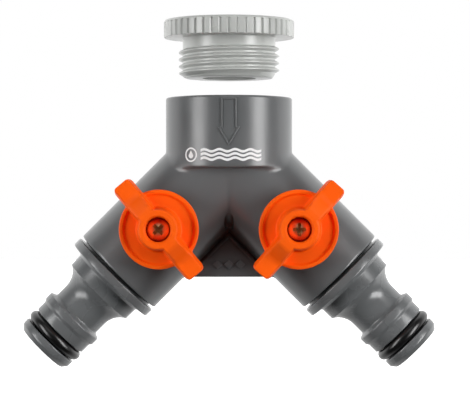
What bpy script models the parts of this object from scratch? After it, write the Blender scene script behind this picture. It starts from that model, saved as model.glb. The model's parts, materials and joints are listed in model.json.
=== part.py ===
"""Two-way hose splitter with a quarter-turn ball valve in each leg and a loose thread reducer.

Units are metres. The origin is the centre of the collar's mouth, +Z points up out of the collar,
the legs spread along X and the knobs face -Y. The reducer is held above the collar, unscrewed.
"""

import math

import bmesh
import bpy

MM = 0.001
GAP = 0.3 * MM  # left between pieces that touch on the real object

# Collar, with its 3/4 inch female pipe thread
PITCH = 25.4 / 14 * MM
COLLAR_RADIUS = 16.4 * MM
COLLAR_HEIGHT = 19.2 * MM
COLLAR_BORE = 12.4 * MM
COLLAR_THREAD_DEPTH = 9.6 * MM
WASHER_LEDGE = 13.0 * MM
INLET_RADIUS = 9.0 * MM
INLET_DEPTH = 17.0 * MM

# Legs: the distances along a leg are from the point where both legs' axes meet
LEG_ANGLE = math.radians(45)
LEG_APEX = 16.4 * MM
BARREL_RADIUS = 13.07 * MM
BARREL_END = 40.64 * MM
BARREL_BORE = 10.6 * MM
SEAT_SHOULDER = 16.5 * MM
PASSAGE_RADIUS = 7.5 * MM
VALVE_DISTANCE = 25.0 * MM
WEB_BOTTOM = 46.3 * MM
WEB_HALF_THICKNESS = 1.6 * MM
WEB_STEP = 13.65 * MM  # from a leg's axis to the raised line on the web

# Valve: the heights are along the knob's axis, from the leg's axis towards the front
BOSS_RADIUS = 6.2 * MM
BOSS_HEIGHT = 14.0 * MM
STEM_BORE = 3.9 * MM
STEM_RADIUS = STEM_BORE - GAP
BALL_RADIUS = 7.2 * MM
BALL_BORE = 4.0 * MM
SEAT_BORE = 4.3 * MM
BLADE_WIDTH = 2.2 * MM
BLADE_BOTTOM = 5.6 * MM
SQUARE = 5.1 * MM
DISC_RADIUS = 10.1 * MM
DISC_BACK = BOSS_HEIGHT + 0.4 * MM
DISC_FLOOR = 15.9 * MM
DISC_RIM = 17.2 * MM
HUB_TOP = 24.0 * MM
WELL_RADIUS = 3.15 * MM
WELL_FLOOR = 18.6 * MM
LEVER_LENGTH = 29.2 * MM
LEVER_WIDTH = 4.2 * MM
LEVER_TOP = 19.8 * MM
CLOSED_LEAN = {"left": math.radians(5), "right": math.radians(3.5)}  # past square to the leg
RECESS_ANGLE = {"left": math.radians(45), "right": 0.0}  # each screw's cross, seen from the front

# Quick-connect nipple, from the same apex as the leg
NIPPLE_BORE = 4.3 * MM
SPIGOT_RADIUS = BARREL_BORE - GAP
SPIGOT_START = 33.5 * MM
FLANGE_RADIUS = 13.15 * MM
TIP_RADIUS = 8.05 * MM
NIPPLE_END = 68.7 * MM
TIP_RING = 63.8 * MM  # along the leg, to the middle of the tip's O-ring

# Thread reducer: 3/4 inch male below, 1/2 inch female above
LIFT = 15.33 * MM  # how far it is held above its seated place
REDUCER_FLANGE_RADIUS = 16.93 * MM
REDUCER_FLANGE = 4.64 * MM
REDUCER_LENGTH = 15.11 * MM
MALE_ROOT = 12.0 * MM
MALE_CREST = 13.1 * MM
FEMALE_HALF_INCH = 9.45 * MM
REDUCER_THROUGH = 7.0 * MM
FLUTES = 48

THREAD_STEPS = 28  # facets in one turn
FLANK = math.tan(math.radians(27.5))

# EXACT leaves open slivers where a helix crosses the facets of these two
THREADED = ("housing", "thread_reducer")

parts = bpy.data.collections.new("hose_splitter")
cutters = bpy.data.collections.new("cutters")


def clear_scene():
    for old in list(bpy.data.objects):
        bpy.data.objects.remove(old, do_unlink=True)
    for collection in (parts, cutters):
        bpy.context.scene.collection.children.link(collection)


def principled(name, colour, roughness, metallic=0.0):
    material = bpy.data.materials.new(name)
    material.use_nodes = True
    shader = material.node_tree.nodes["Principled BSDF"]
    shader.inputs["Base Color"].default_value = (*colour, 1.0)
    shader.inputs["Roughness"].default_value = roughness
    shader.inputs["Metallic"].default_value = metallic
    return material


def finishes():
    return {
        "housing": principled("grey_abs", (0.13, 0.135, 0.135), 0.42),
        "reducer": principled("light_grey_abs", (0.46, 0.47, 0.46), 0.38),
        "knob": principled("orange_abs", (0.95, 0.10, 0.008), 0.35),
        "seal": principled("black_rubber", (0.012, 0.012, 0.012), 0.45),
        "seat": principled("white_ptfe", (0.72, 0.72, 0.70), 0.5),
        "ball": principled("white_acetal", (0.62, 0.62, 0.60), 0.3),
        "steel": principled("zinc_plated_steel", (0.50, 0.48, 0.45), 0.3, 1.0),
    }


def empty(name, location, rotation):
    holder = bpy.data.objects.new(name, None)
    holder.location = location
    holder.rotation_euler = rotation
    parts.objects.link(holder)
    return holder


def place(mesh, name, material=None, parent=None, turn=0.0):
    """An object for a mesh: a part if it has a material, else a hidden cutter."""
    obj = bpy.data.objects.new(name, mesh)
    obj.parent = parent
    obj.rotation_euler = (0.0, 0.0, turn)
    mesh.shade_smooth()
    if material:
        mesh.materials.append(material)
        parts.objects.link(obj)
    else:
        cutters.objects.link(obj)
        obj.hide_render = True
        obj.display_type = "WIRE"
    return obj


def mesh_from(bm, name):
    mesh = bpy.data.meshes.new(name)
    bm.to_mesh(mesh)
    bm.free()
    return mesh


def turned(name, profile, steps, closed=False, **placing):
    """A turned piece: its profile holds (radius, height) points, down the outer side."""
    bm = bmesh.new()
    points = [bm.verts.new((radius, 0.0, height)) for radius, height in profile]
    for start, end in zip(points, points[1:]):
        bm.edges.new((start, end))
    if closed:
        bm.edges.new((points[-1], points[0]))
    obj = place(mesh_from(bm, name), name, **placing)
    screw = obj.modifiers.new("turn", "SCREW")
    screw.steps = steps
    screw.render_steps = steps
    screw.use_merge_vertices = True
    screw.merge_threshold = 0.00001
    return obj


def block(name, bottom, top, low, high, corner=0.0, centre=(0.0, 0.0), **placing):
    """A block whose bottom and top are (length, width), with rounded upright corners."""
    bm = bmesh.new()
    bmesh.ops.create_cube(bm, size=1.0)
    for vert in bm.verts:
        length, width = top if vert.co.z > 0 else bottom
        vert.co.x = centre[0] + math.copysign(length / 2, vert.co.x)
        vert.co.y = centre[1] + math.copysign(width / 2, vert.co.y)
        vert.co.z = high if vert.co.z > 0 else low
    if corner:
        upright = [e for e in bm.edges if abs(e.verts[0].co.z - e.verts[1].co.z) > MM]
        bmesh.ops.bevel(
            bm, geom=upright, offset=corner, segments=2, profile=0.5, affect="EDGES"
        )
    return place(mesh_from(bm, name), name, **placing)


def rod(name, radius, low, high, steps, **placing):
    """A plain turned cylinder along its own Z."""
    return turned(
        name, [(0, high), (radius, high), (radius, low), (0, low)], steps, **placing
    )


def thread(name, profile, turns, **placing):
    """A helical ridge: its profile holds (radius, height) corners, swept up a right-hand thread."""
    bm = bmesh.new()
    face = bm.faces.new([bm.verts.new((radius, 0, height)) for radius, height in profile])
    bmesh.ops.spin(
        bm,
        geom=[*face.verts, *face.edges, face],
        cent=(0, 0, 0),
        axis=(0, 0, 1),
        dvec=(0, 0, PITCH / THREAD_STEPS),
        angle=math.tau * turns,
        steps=round(THREAD_STEPS * turns),
    )
    bmesh.ops.recalc_face_normals(bm, faces=bm.faces)
    return place(mesh_from(bm, name), name, **placing)


def boolean(obj, other, operation):
    modifier = obj.modifiers.new(other.name, "BOOLEAN")
    modifier.operation = operation
    modifier.object = other
    modifier.solver = "MANIFOLD" if obj.name in THREADED else "EXACT"


def cut(obj, *others):
    for other in others:
        boolean(obj, other, "DIFFERENCE")


def join(obj, *others):
    for other in others:
        boolean(obj, other, "UNION")


def ring_profile(radius, height, section, points):
    """The round section of an O-ring, from its top round by the outer side."""
    angles = [math.pi / 2 - math.tau * i / points for i in range(points)]
    return [
        (radius + section * math.cos(a), height + section * math.sin(a)) for a in angles
    ]


def thread_start(lowest):
    """The lowest height at or above this one where every thread here crosses the XZ plane at +X."""
    return math.ceil(lowest / PITCH) * PITCH


def groove_profile(bore, depth, start, slack=0.15 * MM):
    """A female groove's corners, from inside the bore out to the thread's major radius."""
    inside = bore - 0.2 * MM
    narrow = 0.12 * MM
    wide = narrow + (depth + 0.2 * MM) * FLANK
    wide = min(wide, PITCH / 2 - slack / 2)
    outside = bore + depth
    return [
        (inside, start - wide),
        (outside, start - narrow),
        (outside, start + narrow),
        (inside, start + wide),
    ]


def flow_arrow():
    """The raised arrow on the collar's front, cut to a skin that stands 0.3 mm proud."""
    arrow = block(
        "arrow_shaft",
        (3.4 * MM, 4 * MM),
        (3.4 * MM, 4 * MM),
        -8.2 * MM,
        -0.6 * MM,
        centre=(0, -COLLAR_RADIUS),
    )
    head = block(
        "arrow_head",
        (0.3 * MM, 4 * MM),
        (5.2 * MM, 4 * MM),
        -12.1 * MM,
        -8.0 * MM,
        centre=(0, -COLLAR_RADIUS),
    )
    skin = rod("arrow_skin", COLLAR_RADIUS + 0.3 * MM, -13 * MM, -0.4 * MM, 96)
    join(arrow, head)
    boolean(arrow, skin, "INTERSECT")
    return arrow


def build_web(legs):
    """The plate between the legs, with a fine raised line along each barrel."""
    thickness = 2 * WEB_HALF_THICKNESS
    web = block("web", (28 * MM, thickness), (2 * MM, thickness), -WEB_BOTTOM, -30 * MM)
    line_end = (WEB_BOTTOM - LEG_APEX) / math.cos(LEG_ANGLE) - WEB_STEP
    for side, leg in legs.items():
        inward = -1 if side == "right" else 1
        size = (0.4 * MM, thickness + 0.6 * MM)
        centre = (inward * WEB_STEP, 0)
        line = block(
            side + "_web_line", size, size, -line_end, -WEB_STEP, centre=centre, parent=leg
        )
        join(web, line)
    return web


def housing_leg(housing, side, leg, valve):
    """Joins one leg's barrel and stem boss to the housing, and returns what is cut from it."""
    barrel_profile = [
        (0, 0),
        (BARREL_RADIUS, 0),
        (BARREL_RADIUS, 0.4 * MM - BARREL_END),
        (BARREL_RADIUS - 0.4 * MM, -BARREL_END),
        (0, -BARREL_END),
    ]
    barrel = turned(side + "_barrel", barrel_profile, 32, parent=leg)
    boss = rod(side + "_boss", BOSS_RADIUS, 9 * MM, BOSS_HEIGHT, 24, parent=valve)
    join(housing, barrel, boss)
    hollow_profile = [
        (0, 0),
        (PASSAGE_RADIUS, 0),
        (PASSAGE_RADIUS, -SEAT_SHOULDER),
        (BARREL_BORE, -SEAT_SHOULDER),
        (BARREL_BORE, -BARREL_END - MM),
        (0, -BARREL_END - MM),
    ]
    hollow = turned(side + "_hollow", hollow_profile, 28, parent=leg)
    stem_bore = rod(side + "_stem_bore", STEM_BORE, 7 * MM, BOSS_HEIGHT + MM, 24, parent=valve)
    return hollow, stem_bore


def build_housing(material, legs, valves):
    collar_profile = [
        (0, 0),
        (COLLAR_RADIUS - 0.5 * MM, 0),
        (COLLAR_RADIUS, -0.5 * MM),
        (COLLAR_RADIUS, 0.3 * MM - COLLAR_HEIGHT),
        (COLLAR_RADIUS - 0.3 * MM, -COLLAR_HEIGHT),
        (0, -COLLAR_HEIGHT),
    ]
    housing = turned("housing", collar_profile, 48, material=material)
    join(housing, flow_arrow(), build_web(legs))
    leg_cutters = []
    for side in legs:
        leg_cutters += housing_leg(housing, side, legs[side], valves[side])
    hollow_profile = [
        (0, MM),
        (COLLAR_BORE + 3 * MM, MM),
        (COLLAR_BORE, -2 * MM),
        (COLLAR_BORE, -WASHER_LEDGE),
        (INLET_RADIUS, -WASHER_LEDGE),
        (INLET_RADIUS, -INLET_DEPTH),
        (0, -INLET_DEPTH),
    ]
    hollow = turned("collar_hollow", hollow_profile, THREAD_STEPS)
    start = thread_start(-COLLAR_THREAD_DEPTH)
    groove = thread("collar_groove", groove_profile(COLLAR_BORE, 1.1 * MM, start), 6)
    cut(housing, hollow, groove, *leg_cutters)


def build_reducer(material):
    """The reducer: its fluted flange, its male thread below and its female thread inside."""
    bottom = LIFT + REDUCER_FLANGE - REDUCER_LENGTH + GAP
    under_flange = LIFT + GAP
    top = under_flange + REDUCER_FLANGE
    core_profile = [
        (0, top - 1.0 * MM),
        (MALE_ROOT, top - 1.0 * MM),
        (MALE_ROOT, bottom + 1.2 * MM),
        (11.2 * MM, bottom),
        (0, bottom),
    ]
    reducer = turned("thread_reducer", core_profile, THREAD_STEPS, material=material)
    start = thread_start(bottom + 1.9 * MM)
    ridge = [
        (MALE_ROOT - 0.4 * MM, start - 0.86 * MM),
        (MALE_CREST, start - 0.18 * MM),
        (MALE_CREST, start + 0.18 * MM),
        (MALE_ROOT - 0.4 * MM, start + 0.86 * MM),
    ]
    join(reducer, thread("male_thread", ridge, 3), fluted_flange(under_flange, top))
    ledge = bottom + 4.4 * MM
    hollow_profile = [
        (0, top + MM),
        (FEMALE_HALF_INCH + 2.7 * MM, top + MM),
        (FEMALE_HALF_INCH, top - 1.7 * MM),
        (FEMALE_HALF_INCH, ledge),
        (REDUCER_THROUGH, ledge),
        (REDUCER_THROUGH, bottom - MM),
        (0, bottom - MM),
    ]
    hollow = turned("reducer_hollow", hollow_profile, THREAD_STEPS)
    start = thread_start(ledge + 3.2 * MM)
    groove = thread("reducer_groove", groove_profile(FEMALE_HALF_INCH, 1.1 * MM, start), 5)
    cut(reducer, hollow, groove)
    return ledge


def fluted_flange(low, high):
    """A disc whose rim has narrow upright grooves between flat ribs."""
    bm = bmesh.new()
    corners = 4 * FLUTES
    bmesh.ops.create_circle(bm, segments=corners, radius=1.0, cap_ends=True)
    for vert in bm.verts:
        angle = math.atan2(vert.co.y, vert.co.x)
        on_rib = round(angle / math.tau * corners) % 4 < 2
        radius = REDUCER_FLANGE_RADIUS - (0 if on_rib else 0.5 * MM)
        vert.co = (radius * math.cos(angle), radius * math.sin(angle), low)
    grown = bmesh.ops.extrude_face_region(bm, geom=list(bm.faces))["geom"]
    rim = [item for item in grown if isinstance(item, bmesh.types.BMVert)]
    bmesh.ops.translate(bm, verts=rim, vec=(0, 0, high - low))
    bmesh.ops.recalc_face_normals(bm, faces=bm.faces)
    return place(mesh_from(bm, "fluted_flange"), "fluted_flange")


def build_washers(material, reducer_ledge):
    low = GAP - WASHER_LEDGE
    collar_section = [
        (12.1 * MM, low + 2.2 * MM),
        (12.1 * MM, low),
        (8.5 * MM, low),
        (8.5 * MM, low + 2.2 * MM),
    ]
    turned("collar_washer", collar_section, 32, closed=True, material=material)
    low = reducer_ledge + GAP
    section = [
        (FEMALE_HALF_INCH - GAP, low + 2 * MM),
        (FEMALE_HALF_INCH - GAP, low),
        (6 * MM, low),
        (6 * MM, low + 2 * MM),
    ]
    turned("reducer_washer", section, 28, closed=True, material=material)


def nipple_profile():
    """Half the nipple's section, along the leg: spigot, flange, neck, bead, tip, then the bore."""
    arc_centre = 52.8 * MM
    arc_radius = 5.57 * MM
    neck = 7.06 * MM
    start = math.asin(4.9 / 5.57)
    arc = [
        (
            neck + arc_radius * (1 - math.cos(angle)),
            arc_centre - arc_radius * math.sin(angle),
        )
        for angle in (start, start * 0.72, start * 0.4, 0.0)
    ]
    points = [
        (SPIGOT_RADIUS - 0.5 * MM, SPIGOT_START),
        (SPIGOT_RADIUS, SPIGOT_START + 0.5 * MM),
        (SPIGOT_RADIUS, 36.0 * MM),
        (8.0 * MM, 36.0 * MM),
        (8.0 * MM, 39.0 * MM),
        (SPIGOT_RADIUS, 39.0 * MM),
        (SPIGOT_RADIUS, BARREL_END + GAP),
        (12.3 * MM, BARREL_END + GAP),
        (12.3 * MM, 41.55 * MM),
        (FLANGE_RADIUS, 41.55 * MM),
        (FLANGE_RADIUS, 43.8 * MM),
        (10.86 * MM, 43.8 * MM),
        (10.06 * MM, 44.6 * MM),
        *arc,
        (neck, 56.2 * MM),
        (8.53 * MM, 56.9 * MM),
        (8.53 * MM, 58.8 * MM),
        (8.0 * MM, 59.6 * MM),
        (8.0 * MM, 62.2 * MM),
        (5.4 * MM, 62.2 * MM),
        (5.4 * MM, 65.5 * MM),
        (TIP_RADIUS, 65.5 * MM),
        (TIP_RADIUS, NIPPLE_END - 1.3 * MM),
        (TIP_RADIUS - 1.2 * MM, NIPPLE_END),
        (NIPPLE_BORE, NIPPLE_END),
        (NIPPLE_BORE, SPIGOT_START),
    ]
    return [(radius, -along) for radius, along in points]


def seat_profile(flow):
    """A ball seat's section, with its round face 0.3 mm off the ball. flow is -1 upstream, 1 down."""
    reach = BALL_RADIUS + GAP
    back = VALVE_DISTANCE + flow * (VALVE_DISTANCE - SEAT_SHOULDER - GAP)
    front = VALVE_DISTANCE + flow * 4.6 * MM

    def face(radius):
        return VALVE_DISTANCE + flow * math.sqrt(reach**2 - radius**2)

    points = [
        (SPIGOT_RADIUS, back),
        (SPIGOT_RADIUS, front),
        (math.sqrt(reach**2 - (4.6 * MM) ** 2), front),
        (5.2 * MM, face(5.2 * MM)),
        (SEAT_BORE, face(SEAT_BORE)),
        (SEAT_BORE, back),
    ]
    if flow > 0:
        points.reverse()
    return [(radius, -along) for radius, along in points]


def build_leg(side, leg, finish):
    turned(
        side + "_nipple", nipple_profile(), 24, closed=True, material=finish["housing"], parent=leg
    )
    rings = {
        "_nipple_tip_ring": (7.1 * MM, TIP_RING, 1.35 * MM, 24),
        "_spigot_ring": (9.3 * MM, 37.5 * MM, 1.0 * MM, 24),
    }
    for name, (radius, along, section, steps) in rings.items():
        profile = ring_profile(radius, -along, section, 6)
        turned(side + name, profile, steps, closed=True, material=finish["seal"], parent=leg)
    for name, flow in (("_upstream_seat", -1), ("_downstream_seat", 1)):
        turned(
            side + name, seat_profile(flow), 20, closed=True, material=finish["seat"], parent=leg
        )


def build_knob(side, valve, finish):
    profile = [
        (0, HUB_TOP),
        (4.6 * MM, HUB_TOP),
        (5.0 * MM, HUB_TOP - 0.4 * MM),
        (5.5 * MM, DISC_FLOOR),
        (8.7 * MM, DISC_FLOOR),
        (8.9 * MM, DISC_RIM),
        (9.8 * MM, DISC_RIM),
        (DISC_RADIUS, DISC_RIM - 0.3 * MM),
        (DISC_RADIUS, DISC_BACK + 0.3 * MM),
        (DISC_RADIUS - 0.3 * MM, DISC_BACK),
        (0, DISC_BACK),
    ]
    knob = turned(side + "_knob", profile, 28, material=finish["knob"], parent=valve)
    underside = DISC_FLOOR - 0.4 * MM
    bar = block(
        side + "_lever_bar",
        (LEVER_LENGTH, LEVER_WIDTH + 0.4 * MM),
        (LEVER_LENGTH - 0.3 * MM, LEVER_WIDTH),
        underside,
        LEVER_TOP,
        corner=0.8 * MM,
        parent=valve,
    )
    crest = block(
        side + "_lever_crest",
        (17.6 * MM, LEVER_WIDTH + 0.3 * MM),
        (12.4 * MM, LEVER_WIDTH - 0.1 * MM),
        LEVER_TOP - 0.5 * MM,
        HUB_TOP,
        parent=valve,
    )
    join(knob, bar, crest)
    well = rod(side + "_well", WELL_RADIUS, WELL_FLOOR, HUB_TOP + MM, 24, parent=valve)
    hole = rod(side + "_hole", 1.7 * MM, DISC_BACK, WELL_FLOOR + MM, 16, parent=valve)
    side_length = SQUARE + 2 * GAP
    socket = block(
        side + "_square_socket",
        (side_length, side_length),
        (side_length, side_length),
        DISC_BACK - MM,
        17.0 * MM,
        parent=valve,
    )
    cut(knob, well, hole, socket)


def build_screw(side, valve, finish, recess_turn):
    profile = [
        (0, 20.9 * MM),
        (1.5 * MM, 20.75 * MM),
        (2.4 * MM, 20.2 * MM),
        (2.75 * MM, 19.5 * MM),
        (2.75 * MM, WELL_FLOOR + GAP),
        (1.2 * MM, WELL_FLOOR + GAP),
        (1.2 * MM, 10.4 * MM),
        (0, 9.9 * MM),
    ]
    screw = turned(side + "_knob_screw", profile, 20, material=finish["steel"], parent=valve)
    for number, quarter in enumerate((0.0, math.pi / 2)):
        slot = block(
            f"{side}_recess_{number}",
            (1.6 * MM, 0.6 * MM),
            (3.2 * MM, 0.75 * MM),
            19.5 * MM,
            21.5 * MM,
            parent=valve,
            turn=recess_turn + quarter,
        )
        cut(screw, slot)


def build_stem(side, valve, finish):
    groove_floor = 2.3 * MM
    profile = [
        (0, BOSS_HEIGHT + 0.2 * MM),
        (STEM_RADIUS, BOSS_HEIGHT + 0.2 * MM),
        (STEM_RADIUS, 12.9 * MM),
        (groove_floor, 12.9 * MM),
        (groove_floor, 11.3 * MM),
        (STEM_RADIUS, 11.3 * MM),
        (STEM_RADIUS, 9.0 * MM),
        (4.3 * MM, 9.0 * MM),
        (4.3 * MM, 7.7 * MM),
        (0, 7.7 * MM),
    ]
    stem = turned(side + "_valve_stem", profile, 24, material=finish["ball"], parent=valve)
    square = block(
        side + "_stem_square",
        (SQUARE, SQUARE),
        (SQUARE, SQUARE),
        BOSS_HEIGHT,
        16.7 * MM,
        parent=valve,
    )
    blade = block(
        side + "_stem_blade",
        (6.8 * MM, BLADE_WIDTH),
        (6.8 * MM, BLADE_WIDTH),
        BLADE_BOTTOM,
        8.2 * MM,
        parent=valve,
    )
    join(stem, square, blade)
    cut(stem, rod(side + "_pilot_hole", 1.5 * MM, 9.6 * MM, 18 * MM, 16, parent=valve))
    ring = ring_profile(3.1 * MM, 12.1 * MM, 0.5 * MM, 6)
    turned(side + "_stem_ring", ring, 20, closed=True, material=finish["seal"], parent=valve)


def build_ball(side, valve, finish):
    bm = bmesh.new()
    bmesh.ops.create_uvsphere(bm, u_segments=24, v_segments=12, radius=BALL_RADIUS)
    name = side + "_valve_ball"
    ball = place(mesh_from(bm, name), name, material=finish["ball"], parent=valve)
    bore = rod(side + "_ball_bore", BALL_BORE, -9 * MM, 9 * MM, 20, parent=valve)
    bore.rotation_euler = (0, math.pi / 2, 0)
    slot_width = BLADE_WIDTH + 2 * GAP
    slot = block(
        side + "_ball_slot",
        (18 * MM, slot_width),
        (18 * MM, slot_width),
        BLADE_BOTTOM - GAP,
        9 * MM,
        parent=valve,
    )
    cut(ball, bore, slot)


def main():
    clear_scene()
    finish = finishes()
    legs = {}
    valves = {}
    lever_angles = {}
    for side, sign in (("left", -1), ("right", 1)):
        legs[side] = empty(side + "_leg", (0, 0, -LEG_APEX), (0, -sign * LEG_ANGLE, 0))
        across = sign * VALVE_DISTANCE * math.sin(LEG_ANGLE)
        down = -LEG_APEX - VALVE_DISTANCE * math.cos(LEG_ANGLE)
        # Seen from the front, a lever leans from upright by the leg's angle, less the closed lean.
        lever_angles[side] = math.pi / 2 - sign * (LEG_ANGLE - CLOSED_LEAN[side])
        rotation = (math.pi / 2, -lever_angles[side], 0)
        valves[side] = empty(side + "_valve", (across, 0, down), rotation)
    build_housing(finish["housing"], legs, valves)
    ledge = build_reducer(finish["reducer"])
    build_washers(finish["seal"], ledge)
    for side in legs:
        build_leg(side, legs[side], finish)
        build_knob(side, valves[side], finish)
        build_screw(side, valves[side], finish, RECESS_ANGLE[side] - lever_angles[side])
        build_stem(side, valves[side], finish)
        build_ball(side, valves[side], finish)


main()
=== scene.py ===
# Two-way hose splitter: the looks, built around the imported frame.
import json
import math

import bmesh
import bpy
import numpy as np
from mathutils import Euler, Matrix, Vector


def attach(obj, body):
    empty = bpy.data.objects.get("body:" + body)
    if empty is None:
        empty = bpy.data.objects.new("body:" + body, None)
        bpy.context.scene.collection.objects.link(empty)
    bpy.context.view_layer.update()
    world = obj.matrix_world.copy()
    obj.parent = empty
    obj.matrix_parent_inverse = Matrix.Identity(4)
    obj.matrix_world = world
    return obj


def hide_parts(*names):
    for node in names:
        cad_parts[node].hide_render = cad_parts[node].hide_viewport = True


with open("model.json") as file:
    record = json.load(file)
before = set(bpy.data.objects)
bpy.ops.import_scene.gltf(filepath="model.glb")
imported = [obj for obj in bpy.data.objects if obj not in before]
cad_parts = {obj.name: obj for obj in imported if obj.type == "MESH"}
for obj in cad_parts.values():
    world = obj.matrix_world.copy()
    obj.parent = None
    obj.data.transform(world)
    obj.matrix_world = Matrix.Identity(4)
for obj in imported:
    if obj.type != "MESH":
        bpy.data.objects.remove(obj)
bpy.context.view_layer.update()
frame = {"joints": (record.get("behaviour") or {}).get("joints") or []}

scene = bpy.context.scene
mm = 0.001


def linear(hexColour):
    channels = [int(hexColour[i:i + 2], 16) / 255 for i in (1, 3, 5)]
    return (*(c / 12.92 if c <= 0.04045 else ((c + 0.055) / 1.055) ** 2.4 for c in channels), 1.0)


def addNode(owner, kind, links=None, **settings):
    # owner is a material or a world; settings are the node's own properties, or the values of its sockets
    node = owner.node_tree.nodes.new(kind)
    for name, value in settings.items():
        if hasattr(node, name):
            setattr(node, name, value)
        else:
            node.inputs[name].default_value = value
    for socket, source in (links or {}).items():
        owner.node_tree.links.new(source, node.inputs[socket])
    return node


def keepMesh(bm):
    mesh = bpy.data.meshes.new("blank")
    bm.to_mesh(mesh)
    bm.free()
    return mesh


def evaluated(mesh, kind, **settings):
    # the mesh with one modifier applied
    holder = bpy.data.objects.new("holder", mesh)
    scene.collection.objects.link(holder)
    modifier = holder.modifiers.new(kind.lower(), kind)
    for name, value in settings.items():
        setattr(modifier, name, value)
    graph = bpy.context.evaluated_depsgraph_get()
    result = bpy.data.meshes.new_from_object(holder.evaluated_get(graph))
    bpy.data.objects.remove(holder)
    return result


def combine(mesh, other, operation):
    holder = bpy.data.objects.new("other", other)
    scene.collection.objects.link(holder)
    result = evaluated(mesh, "BOOLEAN", operation=operation, object=holder, solver="MANIFOLD")
    bpy.data.objects.remove(holder)
    return result


def roundedLine(corners, closed=True, steps=4):
    # corners are (x, y) or (x, y, corner radius), in mm; each radius becomes an arc
    line = []
    for i, corner in enumerate(corners):
        here = Vector(corner[:2])
        if len(corner) < 3 or (not closed and i in (0, len(corners) - 1)):
            line.append(here)
            continue
        back = (Vector(corners[i - 1][:2]) - here).normalized()
        on = (Vector(corners[(i + 1) % len(corners)][:2]) - here).normalized()
        half = back.angle(on) / 2
        centre = here + (back + on).normalized() * corner[2] / math.sin(half)
        start = here + back * corner[2] / math.tan(half) - centre
        end = here + on * corner[2] / math.tan(half) - centre
        sweep = math.atan2(start.cross(end), start.dot(end))
        line += [centre + Matrix.Rotation(sweep * k / steps, 2) @ start for k in range(steps + 1)]
    return line


def turned(line, steps, place=None, closed=True):
    # spins a line of (radius, height) points, in mm, about Z
    bm = bmesh.new()
    verts = [bm.verts.new((radius * mm, 0, height * mm)) for radius, height in line]
    edges = [bm.edges.new(pair) for pair in zip(verts, verts[1:])]
    if closed:
        edges.append(bm.edges.new((verts[-1], verts[0])))
    bmesh.ops.spin(bm, geom=verts + edges, cent=(0, 0, 0), axis=(0, 0, 1), angle=math.tau, steps=steps,
                   use_merge=True)
    bmesh.ops.remove_doubles(bm, verts=bm.verts, dist=1e-7)
    bmesh.ops.recalc_face_normals(bm, faces=bm.faces)
    if place:
        bmesh.ops.transform(bm, matrix=place, verts=bm.verts)
    return keepMesh(bm)


def rod(radius, low, high, steps=64, place=None, edge=0):
    corner = (edge,) if edge else ()
    corners = [(0, high), (radius, high, *corner), (radius, low, *corner), (0, low)]
    return turned(roundedLine(corners, closed=False), steps, place, closed=False)


def brick(length, width, low, high, place=None, centre=(0, 0), edge=0, top=(1, 1)):
    # a block with every edge bevelled; top scales its upper end
    bm = bmesh.new()
    bmesh.ops.create_cube(bm, size=1.0)
    for vert in bm.verts:
        upper = vert.co.z > 0
        vert.co.x *= length * (top[0] if upper else 1)
        vert.co.y *= width * (top[1] if upper else 1)
        vert.co.z = high if upper else low
    if edge:
        bmesh.ops.bevel(bm, geom=list(bm.edges), offset=edge, segments=3, profile=0.5,
                        affect="EDGES", material=-1)
    bmesh.ops.translate(bm, verts=bm.verts, vec=(*centre, 0))
    bmesh.ops.scale(bm, verts=bm.verts, vec=(mm, mm, mm))
    if place:
        bmesh.ops.transform(bm, matrix=place, verts=bm.verts)
    return keepMesh(bm)


def merged(*meshes):
    # several closed meshes in one, not yet joined
    bm = bmesh.new()
    for mesh in meshes:
        bm.from_mesh(mesh)
    return keepMesh(bm)


def helix(line, turns, steps, fade=0, root=0, before=0):
    # a thread's ridge: a closed line of (radius, height) points, in mm, swept up by its pitch. It
    # starts before the line by a part of a turn, and sinks to the root over fade turns at each end.
    bm = bmesh.new()
    face = bm.faces.new([bm.verts.new((radius * mm, 0, height * mm)) for radius, height in line])
    bmesh.ops.spin(bm, geom=[*face.verts, *face.edges, face], cent=(0, 0, 0), axis=(0, 0, 1),
                   dvec=(0, 0, thread["pitch"] * mm / steps), angle=math.tau * turns,
                   steps=round(steps * turns))
    bm.verts.index_update()
    if fade:
        for vert in bm.verts:
            progress = (vert.index // len(line)) / steps
            strength = min(1, progress / fade, (turns - progress) / fade)
            radius = math.hypot(vert.co.x, vert.co.y) / mm
            if radius > root:
                sunk = root + (radius - root) * max(strength, 0) - 0.05 * (1 - strength)
                vert.co.x *= sunk / radius
                vert.co.y *= sunk / radius
    back = Matrix.Rotation(-before * math.tau, 4, "Z")
    back.translation.z = -before * thread["pitch"] * mm
    bmesh.ops.transform(bm, matrix=back, verts=bm.verts)
    bmesh.ops.recalc_face_normals(bm, faces=bm.faces)
    return keepMesh(bm)


# Distance fields, in mm: below zero inside. They only say where a blended surface lies.

def roundJoin(a, b, radius):
    return np.maximum(radius, np.minimum(a, b)) - np.hypot(np.maximum(radius - a, 0),
                                                          np.maximum(radius - b, 0))


def roundMeet(a, b, radius):
    return np.minimum(-radius, np.maximum(a, b)) + np.hypot(np.maximum(radius + a, 0),
                                                           np.maximum(radius + b, 0))


def inPlace(points, place):
    turn = np.array(place.inverted())
    return points @ turn[:3, :3].T + turn[:3, 3] / mm


def rodField(points, radius, low, high, edge):
    across = np.hypot(points[:, 0], points[:, 1]) - radius
    along = np.maximum(low - points[:, 2], points[:, 2] - high)
    return roundMeet(across, along, edge)


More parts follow.
